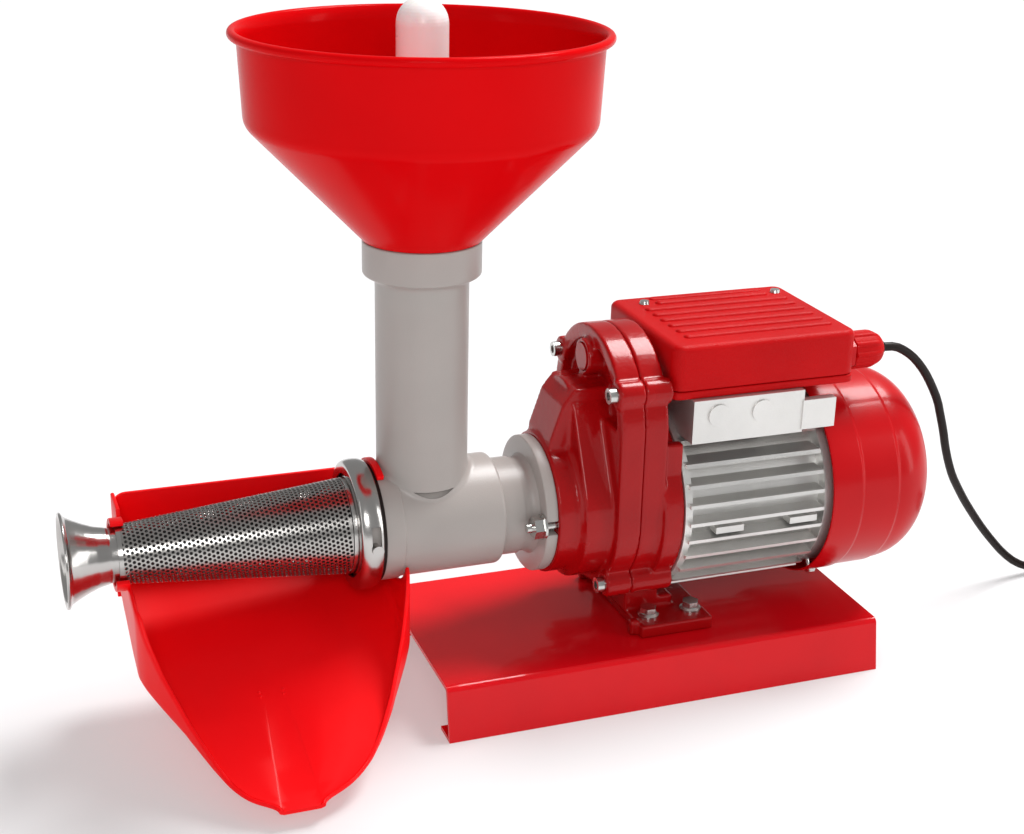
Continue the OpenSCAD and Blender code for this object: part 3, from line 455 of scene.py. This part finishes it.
# ---- screen ----
SCREEN_A, SCREEN_B = -194.0, -48.0      # narrow and wide end
SCREEN_RA, SCREEN_RB = 18.0, 31.0
SCREEN_SLOPE = (SCREEN_RB - SCREEN_RA) / (SCREEN_B - SCREEN_A)
SCREEN_T = 0.7
HOLE_PITCH, HOLE_R = 3.0, 1.02
BAND_NARROW, BAND_WIDE = 1.6, 5.0       # plain width at each end
SEAM_ANGLE = math.radians(105)


def screen_radius(x):
    return SCREEN_RA + (x - SCREEN_A) * SCREEN_SLOPE


def screen_sheet():
    """Flat pattern of the cone, a sector of a ring, filled with hexagons that each have a round hole."""
    sine = math.sin(math.atan(SCREEN_SLOPE))
    near = (SCREEN_RA + BAND_NARROW * SCREEN_SLOPE) / sine
    far = (SCREEN_RB - BAND_WIDE * SCREEN_SLOPE) / sine
    half = math.pi * sine
    index, verts, faces = {}, [], []

    def vertex(u, v):
        rho = min(max(math.hypot(u, v), near), far)
        phi = min(max(math.atan2(u, v), -half), half)
        theta = phi / sine + SEAM_ANGLE
        r = rho * sine
        x = SCREEN_A + (r - SCREEN_RA) / SCREEN_SLOPE
        key = (round(x * 500), round(math.cos(theta) * r * 500), round(math.sin(theta) * r * 500))
        if key not in index:
            index[key] = len(verts)
            verts.append(at(x, r * math.cos(theta), AXIS_Z + r * math.sin(theta)))
        return index[key]

    def polygon(u, v, r, sides, first):
        turns = [math.radians(first + 360 * k / sides) for k in range(sides)]
        return [(u + r * math.cos(a), v + r * math.sin(a)) for a in turns]

    row_step = HOLE_PITCH * math.sqrt(3) / 2
    first_row, last_row = int(near * math.cos(half) / row_step) - 1, int(far / row_step) + 1
    width = int(far * math.sin(half) / HOLE_PITCH) + 2
    for j in range(first_row, last_row + 1):
        for i in range(-width, width + 1):
            u, v = (i + 0.5 * (j % 2)) * HOLE_PITCH, j * row_step
            rho, phi = math.hypot(u, v), math.atan2(u, v)
            if not (near - 1.4 < rho < far + 1.4 and abs(phi) < half + 1.4 / rho):
                continue
            corners = polygon(u, v, HOLE_PITCH / math.sqrt(3), 6, 30)
            border = []
            for a, b in zip(corners, corners[1:] + corners[:1]):
                border += [a, ((a[0] + b[0]) / 2, (a[1] + b[1]) / 2)]
            outline = [vertex(*p) for p in border]
            if near + 0.9 < rho < far - 0.9 and abs(phi) < half - 1.3 / rho:
                hole = [vertex(*p) for p in polygon(u, v, HOLE_R, 12, 30)]
                for k in range(12):
                    n = (k + 1) % 12
                    quad = (outline[k], outline[n], hole[n], hole[k])
                    if len(set(quad)) == 4:
                        faces.append(quad)
            else:
                flat = [a for k, a in enumerate(outline) if a != outline[k - 1]]
                if len(set(flat)) > 2:
                    faces.append(tuple(dict.fromkeys(flat)))
    return mesh_of("screen_sheet", verts, faces, angle=40)


def seam_strip():
    """Plain strip along the seam, opposite the cut in the flat pattern's middle."""
    middle, outside, inside = SEAM_ANGLE + math.pi, 0.16, -0.6
    rings = []
    for x in np.linspace(SCREEN_A + 1, SCREEN_B - 1, 12):
        spread = 2.4 / screen_radius(x)
        turns = [(outside, d) for d in np.linspace(-spread, spread, 7)]
        turns += [(inside, d) for d in np.linspace(spread, -spread, 7)]
        rings.append([(x, (screen_radius(x) + off) * math.cos(middle + d),
                       AXIS_Z + (screen_radius(x) + off) * math.sin(middle + d)) for off, d in turns])
    return mesh_of("c", *loft(rings), angle=40)


def build_screen():
    """Perforated sheet rolled into a cone, with plain bands at its ends and a seam."""
    obj = add_object("screen_perforated", screen_sheet())
    solid = obj.modifiers.new("sheet", "SOLIDIFY")
    solid.thickness, solid.offset = SCREEN_T * MM, -1
    baked(obj)
    smooth_mesh(obj.data, 50)
    proud, band_t = 0.12, 1.0
    x0, x1 = SCREEN_A, SCREEN_A + 2.6
    r0, r1 = screen_radius(x0) + proud, screen_radius(x1) + proud
    narrow = [(x0, r0), (x1, r1), (x1, r1 - band_t), (x0, r0 - band_t), (x0, r0)]
    wide_r = screen_radius(-52.5)
    wide = [(-52.5, wide_r + proud), (-49.2, screen_radius(-49.2) + proud), (-48, 32.4), (-48, 38.5),
            (-46.9, 38.5), (-46.9, 30.2), (-52.5, wide_r - 0.9), (-52.5, wide_r + proud)]
    ends = join_meshes("screen_ends", [lathe("a", narrow, "x", (0, 0, AXIS_Z)),
                                       lathe("b", wide, "x", (0, 0, AXIS_Z)), seam_strip()])
    dress(obj, "screen", "stainless", "screen_cone")
    obj.data.materials[0] = SCREEN_STEEL
    dress(add_object("screen_end_bands", ends), "screen", "stainless")


def build_outlet():
    """Flared funnel with a rolled rim, in one thickness of sheet."""
    outside = [(-191.5, 16.9), (-198.2, 16.9), (-199.4, 17.3), (-206, 18.8), (-212, 21.2), (-218, 24.1),
               (-222.6, 26.7), (-223.7, 28.6), (-224.3, 29.5), (-225.3, 29.6)]
    inside = [(-226, 29.1), (-226, 28.0), (-224.9, 26.6), (-222, 24.8), (-217.6, 22.6), (-211.6, 19.8),
              (-205.6, 17.6), (-198.6, 15.8), (-191.5, 15.8), (-191.5, 16.9)]
    profile = [tuple(p) for p in rounded(outside + inside, 1.2, 4)]
    mesh = lathe("outlet", profile, "x", (0, 0, AXIS_Z), steps=112, angle=50)
    dress(add_object("waste_funnel", mesh), "screen", "stainless", "waste_outlet")


# ---- chute ----
# Outside faces of the side walls, as (y, x), and the rim's height, as (y, z), from the back to the spout
LEFT_SIDE = [(47.5, -190), (20, -190), (-20, -190), (-38, -189.6), (-46, -187), (-60, -180.5), (-85, -168),
             (-104, -158.4), (-118, -150.4), (-126, -144), (-131, -137), (-134.2, -130), (-135.6, -127.4),
             (-138.6, -127)]
RIGHT_SIDE = [(47.5, -18), (20, -18), (-20, -18), (-34, -18.2), (-44, -21), (-57, -27.6), (-70, -35),
              (-88, -45.4), (-103, -55.6), (-115, -65.6), (-124, -75.6), (-130.5, -86), (-134.4, -97),
              (-136, -99.6), (-138.6, -100)]
RIM_LINE = [(47.5, 142), (21, 142), (16, 112), (-24, 106), (-41, 100), (-50, 84), (-62, 68), (-84, 46),
            (-105, 30), (-120, 19.6), (-130, 15), (-138.6, 11.6)]
CHUTE_T, CHUTE_BACK = 2.5, 47.5
FLOOR_TOP, FLOOR_DROP = 85.0, 75.8 / 189.5
CHANNEL_X, CHANNEL_DEPTH = -113.5, 0.55
LIP = 0.9                                # height of the rounded top of a wall
BLUR = ((-1, 0.16), (-0.5, 0.22), (0, 0.24), (0.5, 0.22), (1, 0.16))


def along(table, y):
    """The table's value at y, by straight steps; the tables run from the back to the front."""
    ys = [-p[0] for p in table]
    return float(np.interp(-y, ys, [p[1] for p in table]))


def soft_along(table, y, reach=3.0):
    """The table's value at y, averaged over the reach on both sides, which rounds its corners."""
    return sum(along(table, y + d * reach) * w for d, w in BLUR)


def unit(v):
    return min(1.0, max(0.0, v))


def chute_floor(y):
    return FLOOR_TOP - (CHUTE_BACK - y) * FLOOR_DROP


def under_circle(y, r):
    """Height at which a wall is cut by a round body of radius r on the screw axis."""
    return AXIS_Z - math.sqrt(r * r - y * y) if abs(y) < r else 1e3


def chute_section(y):
    """Ring of points round the tray's section at y: the outside from left to right, then the inside back."""
    xl, xr = soft_along(LEFT_SIDE, y), soft_along(RIGHT_SIDE, y)
    zf = chute_floor(y)
    zi = zf + CHUTE_T
    rim = soft_along(RIM_LINE, y, 2.0)
    left_top = max(min(rim, under_circle(y, 19.2)), zf + 3.0)
    right_top = max(min(rim, under_circle(y, 38)), zf + 3.0)
    t = CHUTE_T
    r_out = min(7.0, max(0.6, (min(left_top, right_top) - zf) * 0.45))
    r_in = max(0.4, r_out - t)
    start = unit((-60 - y) / 26)
    channel_w = 6.8 + 5.6 * unit((-62 - y) / 78)
    channel_x = CHANNEL_X + 1.5 * unit((y + 140) / 78)
    edge, wall_steps = 1.6, 6

    def sink(x):
        return -CHANNEL_DEPTH * start * unit((channel_w - abs(x - channel_x)) / edge + 0.5)

    def wall(x, z0, z1, steps):
        return [(x, z0 + (z1 - z0) * k / wall_steps) for k in steps]

    def corner(x, z, r, side, turns):
        """Quarter circle from a wall at x to the floor at z; side is 1 on the left and -1 on the right."""
        return [(x + side * (r - r * math.cos(a)), z + r - r * math.sin(a)) for a in turns]

    def lip(x, top, side):
        return [(x + side * 0.5, top - 0.15), (x + side * t / 2, top), (x + side * (t - 0.5), top - 0.15)]

    down, rise = np.linspace(0, math.pi / 2, 7), np.linspace(math.pi / 2, 0, 7)
    there, back_up = range(wall_steps), range(1, wall_steps + 1)
    low, high = xl + t + r_in, xr - t - r_in
    stations = [low + (high - low) * k / 6 for k in (0, 1, 2, 4, 5, 6)]
    lines = [channel_x + s * (channel_w + d) for s in (-1, 1) for d in (-0.55, -0.18, 0.18, 0.55)]
    xs = [min(max(x, low), high) for x in sorted(stations + lines)][1:-1]
    ring = wall(xl, left_top - LIP, zf + r_out, there) + corner(xl, zf, r_out, 1, down)
    ring += [(x, zf + sink(x)) for x in xs]
    ring += corner(xr, zf, r_out, -1, rise) + wall(xr, zf + r_out, right_top - LIP, back_up)
    ring += lip(xr, right_top, -1)
    ring += wall(xr - t, right_top - LIP, zi + r_in, there) + corner(xr - t, zi, r_in, -1, down)
    ring += [(x, zi + sink(x)) for x in reversed(xs)]
    ring += corner(xl + t, zi, r_in, 1, rise) + wall(xl + t, zi + r_in, left_top - LIP, back_up)
    ring += reversed(lip(xl, left_top, 1))
    return [(x, y, z) for x, z in ring]


def stations_along(*stretches):
    """Rounded values over stretches given as (from, to, count), without repeats, from the highest down."""
    values = {float(v) for a, b, n in stretches for v in np.round(np.linspace(a, b, n), 2)}
    return sorted(values, reverse=True)


def build_chute():
    ys = stations_along((47.5, 20, 12), (39.5, 35, 8), (20, -62, 52), (-62, -118, 30), (-118, -138.5, 28))
    tray = mesh_of("tray", *loft([chute_section(y) for y in ys]), angle=48)
    left, right_side, top, r = -189.9, -18.1, 142, 9.0
    wall = [(left, 70), (right_side, 70)]
    wall += arc(right_side - r, top - r, r, 0, 90, 8) + arc(left + r, top - r, r, 90, 180, 8)
    faces = [[(x, y, z) for x, z in wall] for y in (CHUTE_BACK - 0.05, CHUTE_BACK - CHUTE_T)]
    bits = [mesh_of("plate", *loft(faces), angle=30)]

    def clip(x0, x1, r_in, r_out, a0, a1):
        n = max(8, int((a1 - a0) / 5))
        outline = arc(0, AXIS_Z, r_out, a0, a1, n) + arc(0, AXIS_Z, r_in, a1, a0, n)
        bits.append(prism_x("clip", outline, x0, x1))

    clip(-34, -18, 38.05, 41.5, -54, 6)
    clip(-34, -29.5, 38.05, 41.5, 0, 114)
    clip(-196.5, -188.5, 19.25, 22.6, -150, 96)
    tab = [(38.6, 0), (47, 0), (47, 20), (43.2, 20), (38.6, 8)]
    bits.append(prism_x("tab", [(y, AXIS_Z + z) for y, z in tab], -34, -18))
    for side in (-1, 1):
        for y in (-58.5, -61.5):
            x, base = CHANNEL_X + side * (7.4 + (y + 58.5) * 0.1), chute_floor(y) + CHUTE_T
            dome = [(base - 0.5, 1.1), (base + 0.1, 1.05), (base + 0.6, 0.7), (base + 0.8, 0)]
            bits.append(lathe("nub", dome, "z", (x, y), steps=14))
    trim = beveled("chute_clips", join_meshes("chute_clips", bits), 0.8)
    dress(add_object("chute_tray", tray), "chute", "chute_red", "chute")
    dress(trim, "chute", "chute_red")


# ---- feed body ----
TUBE_R, BODY_R = 29.0, 36.5
FLANGE_R, SLOT_HALF = 45.0, 4.5
STUD_R = 2.95


def tube_fillet(f=5.0, steps=144):
    """Concave fillet where the upright tube meets the horizontal body."""
    sections = []
    for k in range(steps):
        phi = 2 * math.pi * k / steps
        cx, cy = (TUBE_R + f) * math.cos(phi), (TUBE_R + f) * math.sin(phi)
        cz = math.sqrt((BODY_R + f) ** 2 - cy * cy)
        to_tube = Vector((-math.cos(phi), -math.sin(phi), 0))
        to_body = Vector((0, -cy, -cz)).normalized()
        centre = Vector((cx, cy, AXIS_Z + cz))
        turn = to_tube.angle(to_body)
        ring = []
        for t in np.linspace(0, 1, 9):
            towards = to_tube * math.sin((1 - t) * turn) + to_body * math.sin(t * turn)
            ring.append(centre + towards / math.sin(turn) * f)
        buried = TUBE_R - 1.5
        ring.append(Vector((buried * math.cos(phi), buried * math.sin(phi), ring[-1].z - 2.5)))
        sections.append(ring)
    return mesh_of("c", *loft(sections + [sections[0]], caps=False), angle=40)


def slotted_flange():
    """Round flange with an open slot on each side for its stud."""
    low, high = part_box("flange_studs")
    stud_y = (high.y - low.y) / 2 / MM - STUD_R
    a = math.degrees(math.asin(SLOT_HALF / FLANGE_R))
    outline = []
    for s, turned in ((1, 0), (-1, 180)):
        outline.append((s * math.sqrt(FLANGE_R ** 2 - SLOT_HALF ** 2), AXIS_Z - s * SLOT_HALF))
        for d in range(270, 89, -15):
            c, sn = math.cos(math.radians(d)), math.sin(math.radians(d))
            outline.append((s * (stud_y + SLOT_HALF * c), AXIS_Z + s * SLOT_HALF * sn))
        outline += arc(0, AXIS_Z, FLANGE_R, a + turned, 180 - a + turned, 48)
    return beveled("flange", prism_x("flange", outline, 69.5, 77.5), 0.9)


def build_feed_body():
    body = rounded([(-46.3, 32), (-46.3, 36), (-33.5, 36), (-33.5, 37.5), (-21.4, 37.5), (-20.6, BODY_R),
                    (46, BODY_R), (46.2, 31), (66.5, 31), (69.6, 33.5), (69.6, 26), (60, 26), (60, 32),
                    (-46.3, 32)],
                   [0, 0.6, 0, 0.9, 0.5, 0.4, 3.2, 1.2, 3, 0, 0, 0, 0, 0], 5)
    shell = lathe("a", [tuple(p) for p in body], "x", (0, 0, AXIS_Z), steps=144, angle=40)
    pipe = rounded([(150, TUBE_R), (282, TUBE_R), (284.6, 36.6), (305.5, 36.6), (305.5, 33), (287.5, 33),
                    (287.3, 25.5), (150, 25.5), (150, TUBE_R)],
                   [0, 5, 1.6, 1.3, 0.8, 0.6, 1, 0, 0], 5)
    tower = lathe("b", [tuple(p) for p in pipe], "z", steps=128, angle=40)
    flange = slotted_flange()
    mesh = join_meshes("feed_body_shell", [shell, tower, tube_fillet(), flange.data], 40)
    bpy.data.objects.remove(flange)
    dress(add_object("feed_body_shell", mesh), "machine", "body_grey", "feed_body")


def build_ring():
    """Rolled ring, convex outside, with a slotted window over each stud."""
    profile = rounded([(-50, 33.4), (-50.2, 40.4), (-46, 42.0), (-40, 42.0), (-36.2, 40.6), (-36.2, 39.2),
                       (-48.6, 39.2), (-48.8, 33.4), (-50, 33.4)],
                      [0, 2.2, 3, 3, 1.2, 0.3, 0.8, 0, 0], 6)
    turned = lathe("ring", [tuple(p) for p in profile], "x", (0, 0, AXIS_Z), steps=180, angle=50)
    obj = add_object("bayonet_ring_rolled", turned)
    window_x, window_half, twist, n = -41, 3.1, 20, 11
    cutter = []
    for base in (0, 180):
        rings = []
        for r in (36, 46):
            there = arc(0, AXIS_Z, r, base - twist, base, n)
            rings.append([(window_x - window_half, y, z) for y, z in there]
                         + [(window_x + window_half, y, z) for y, z in reversed(there)])
        cutter.append(mesh_of("cut", *loft(rings)))
    tool = add_object("cutter", join_meshes("cutter", cutter))
    cut = obj.modifiers.new("windows", "BOOLEAN")
    cut.operation, cut.object, cut.solver = "DIFFERENCE", tool, "EXACT"
    baked(obj)
    bpy.data.objects.remove(tool)
    smooth_mesh(obj.data, 40)
    dress(obj, "screen", "stainless", "bayonet_ring")


# ---- gear case, motor and box ----
SKIN_VOXEL, SKIN_ROUNDS = 1.15, 5


def build_castings():
    for name, node in (("gear_case_nose", "gear_case_front"), ("gear_case_back", "gear_case_rear")):
        dress(softened(name, [node], SKIN_VOXEL, SKIN_ROUNDS), "machine", "red_cast", node)


def build_lid():
    """Ribbed lid and the box under it, at the place of the CAD box."""
    low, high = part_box("terminal_box_base")
    x0, x1 = ((v.x - HOPPER_X) / MM for v in (low, high))
    y0, y1 = ((v.y - HOPPER_Y) / MM for v in (low, high))
    mid, pitch, half = (y0 + y1) / 2, 12, 3.6
    body = soft_block("a", x0 + 0.2, x1 - 0.2, y0 + 0.2, y1 - 0.2, 208.2, 238.0, 8, 4.4, 1.0)
    ribs = []
    for i in range(-3, 4):
        y = mid + pitch * i
        a, b = (x0 + 14, x1 - 10) if i < 3 else (x0 + 27, x1 - 19)
        ribs.append(soft_block("r", a, b, y - half, y + half, 234, 239.5, 3.4, 2.6, 0.1))
    rail = soft_block("s", x0 + 27, x1 - 19, mid + 43, mid + 50, 234, 238.9, 3.4, 1.6, 0.1)
    shell = join_meshes("lid_shell", [body, *ribs, rail], 40)
    dress(add_object("terminal_box_cover", shell), "machine", "red_lid", "terminal_box_lid")
    tray = soft_block("b", x0, x1, y0, y1, 202.5, 207.8, 6.5, 1.0, 1.6)
    dress(add_object("terminal_box_tray", tray), "machine", "red_lid", "terminal_box_base")


COVER_R, DOME_X = 71.0, 316


def build_fan_cover():
    """Pressed cover with a band, a dome and a grille of upright bars at its end."""
    r = COVER_R
    rim = [(262, r - 1.2), (262.3, r - 0.2), (263.5, r), (284, r), (285.6, r - 1.1), (312, r - 1.2),
           (313.6, r - 2.3), (317, r - 2.4)]

    def dome(along, across, turns):
        return [(DOME_X + along * math.cos(math.radians(a)), r - 36 + across * math.sin(math.radians(a)))
                for a in turns]

    outer = rounded(rim, [0, 0, 0.6, 0.9, 0.9, 0.9, 0.9, 0], 4) + dome(34, 33.6, range(86, -1, -4))
    inner = [(348.5, 35)] + dome(32.5, 32.1, range(0, 91, 6))
    inner += [(312, r - 2.7), (284, r - 2.6), (262, r - 1.2)]
    shell = lathe("cover", [tuple(p) for p in outer + inner], "x", (0, 0, AXIS_Z), steps=176, angle=40)
    bars = []
    back_x, front_x = 348.2, 349.95
    for i in range(-4, 5):
        y = 8 * i
        h = math.sqrt(max(36.2 ** 2 - y * y, 1))
        outline = [(y - 2.4, AXIS_Z - h), (y + 2.4, AXIS_Z - h), (y + 2.4, AXIS_Z + h), (y - 2.4, AXIS_Z + h)]
        bars.append(prism_x("bar", outline, back_x, front_x))
    section = [(348.3, 29.5), (front_x, 29.5), (front_x, 36.0), (348.3, 36.0), (348.3, 29.5)]
    hoop = lathe("hoop", section, "x", (0, 0, AXIS_Z), steps=96)
    mesh = join_meshes("fan_cover_shell", [shell, hoop, *bars], 40)
    dress(add_object("fan_cover_pressed", mesh), "machine", "red_cover", "fan_cover")


def build_gland_nut():
    """Fluted nut that clamps the cord, closed by a dome with a bore."""
    # along, radius, and the share of a flute's height there
    outside = [(285.2, 10.6, 0), (286.2, 11.7, 1), (299.5, 11.7, 1), (302, 11.5, 0.8), (304.5, 10.9, 0.3),
               (307, 9.6, 0), (308.6, 7.8, 0), (309, 5.2, 0)]
    bore = [(303, 5.2, 0), (296, 9.2, 0), (285.2, 9.2, 0), (285.2, 10.6, 0)]
    steps, flutes, flute_height = 120, 10, 1.05
    turns = [2 * math.pi * k / steps for k in range(steps)]
    _, gland_y, gland_z = GLAND
    rings = []
    for x, r, share in outside + bore:
        ring = []
        for a in turns:
            q = r + share * flute_height * max(0.0, math.cos(flutes * a)) ** 0.6
            ring.append((x, gland_y + q * math.cos(a), gland_z + q * math.sin(a)))
        rings.append(ring)
    nut = mesh_of("gland_nut_fluted", *loft(rings, caps=False), angle=38)
    dress(add_object("gland_nut_fluted", nut), "machine", "red_lid", "gland_nut")


build_gland_nut()
build_hopper()
build_screen()
build_outlet()
build_chute()
build_feed_body()
build_ring()
build_castings()
build_lid()
build_fan_cover()

# Width of the rounded edges of the CAD pieces that stay, in mm
BEVEL = {
    "base_plate": 0.5, "flange_nuts": 0.5, "foot_bolts": 0.4, "case_screws": 0.4, "motor_frame": 0.7,
    "end_shield": 0.8,
    "gland_body": 0.5, "bayonet_studs": 0.5, "body_gasket": 0.4, "plug_body": 0.7, "plug_pins": 0.3,
    "switch_body": 0.5, "switch_rocker": 0.4, "terminal_box_screws": 0.3, "filler_plug": 0.6,
    "flange_studs": 0.3,
    "fan_cover_screws": 0.3,
}


def dress_cad():
    """CAD pieces take their slot's finish, and their edges are rounded."""
    for name, obj in frame["nodes"].items():
        obj.data.materials.clear()
        obj.data.materials.append(MATERIALS[SLOTS[name]])
        if BEVEL.get(name):
            bevel = obj.modifiers.new("edge_round", "BEVEL")
            bevel.width, bevel.segments = BEVEL[name] * MM, 3
            bevel.limit_method, bevel.angle_limit = "ANGLE", math.radians(32)


dress_cad()
cord.data.materials.append(MATERIALS["rubber"])


# ---- floor and light ----
FLOOR_GLOW, FLOOR_HALF = 0.33, 40.0
FLOOR_DROPPED = 0.0002                   # keeps the floor off the faces that stand on it
WORLD_LIGHT = 0.36
SUN_LIGHT, SUN_SPREAD = 3.9, math.radians(28)


def build_stage():
    mesh = bpy.data.meshes.new("floor")
    half = FLOOR_HALF
    corners = [(-half, -half, 0), (half, -half, 0), (half, half, 0), (-half, half, 0)]
    mesh.from_pydata(corners, [], [(0, 1, 2, 3)])
    floor = add_object("floor", mesh)
    floor.location.z = -FLOOR_DROPPED
    material = finish_of("floor_paper", (0.50, 0.50, 0.505), 0.8, grain=300, bump=0.02, spread=0.004,
                         patch=2, specular=0.2)
    shader = material.node_tree.nodes["Principled BSDF"]
    shader.inputs["Emission Color"].default_value = (1, 1, 1, 1)
    shader.inputs["Emission Strength"].default_value = FLOOR_GLOW
    mesh.materials.append(material)
    world = bpy.data.worlds.new("studio")
    bpy.context.scene.world = world
    world.use_nodes = True
    background = world.node_tree.nodes["Background"]
    background.inputs["Color"].default_value = (1, 1, 1, 1)
    background.inputs["Strength"].default_value = WORLD_LIGHT


def area_light(name, position, target, size, energy, size_y=None):
    data = bpy.data.lights.new(name, "AREA")
    data.shape = "RECTANGLE"
    data.size, data.size_y = size, size_y or size
    data.energy = energy
    light = bpy.data.objects.new(name, data)
    bpy.context.scene.collection.objects.link(light)
    light.location = position
    light.rotation_mode = "QUATERNION"
    light.rotation_quaternion = (Vector(target) - Vector(position)).to_track_quat("-Z", "Y")


build_stage()
sun_data = bpy.data.lights.new("sun", "SUN")
sun_data.energy, sun_data.angle = SUN_LIGHT, SUN_SPREAD
sun = bpy.data.objects.new("sun", sun_data)
bpy.context.scene.collection.objects.link(sun)
sun.rotation_mode = "QUATERNION"
sun.rotation_quaternion = Vector((-0.55, -0.25, -1.0)).to_track_quat("-Z", "Y")
area_light("key", (-0.5, -1.7, 1.1), (0.05, 0, 0.2), 0.55, 9.5)
area_light("side", (1.6, -1.0, 0.7), (0, 0, 0.15), 0.35, 6, size_y=1.2)
area_light("left", (-1.7, -0.4, 0.7), (0, 0, 0.2), 0.35, 1.5, size_y=1.2)
bpy.context.scene.view_settings.view_transform = "Standard"
